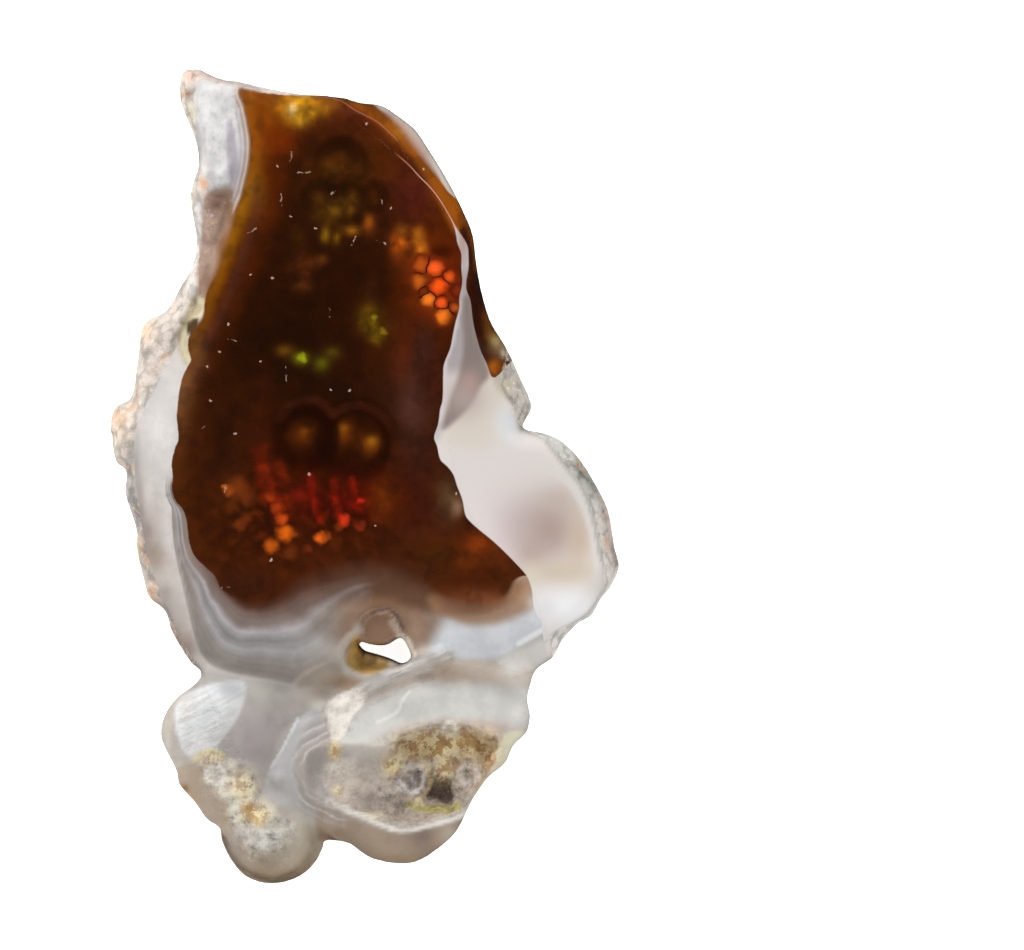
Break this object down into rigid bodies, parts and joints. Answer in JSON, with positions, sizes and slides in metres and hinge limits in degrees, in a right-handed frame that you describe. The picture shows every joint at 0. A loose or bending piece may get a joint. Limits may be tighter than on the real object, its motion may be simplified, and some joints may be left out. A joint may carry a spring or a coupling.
{
  "type": "fire agate specimen",
  "caption": "Flat-lying piece of fire agate: a polished iridescent brown face edged with white chalcedony, above rounded grey lobes with a crusted pocket.",
  "frame": {"origin": "under the middle of the specimen, on the plane that it rests on", "axes": "+X across the face towards its white bevel, +Y along the specimen away from its lobes, +Z out of the polished face"},
  "size_m": [0.0375, 0.06, 0.015],
  "materials": {
    "agate": "polished front, natural matt rind and crust elsewhere"
  },
  "bodies": {
    "root": {"fire_agate": "agate"}
  },
  "joints": []
}
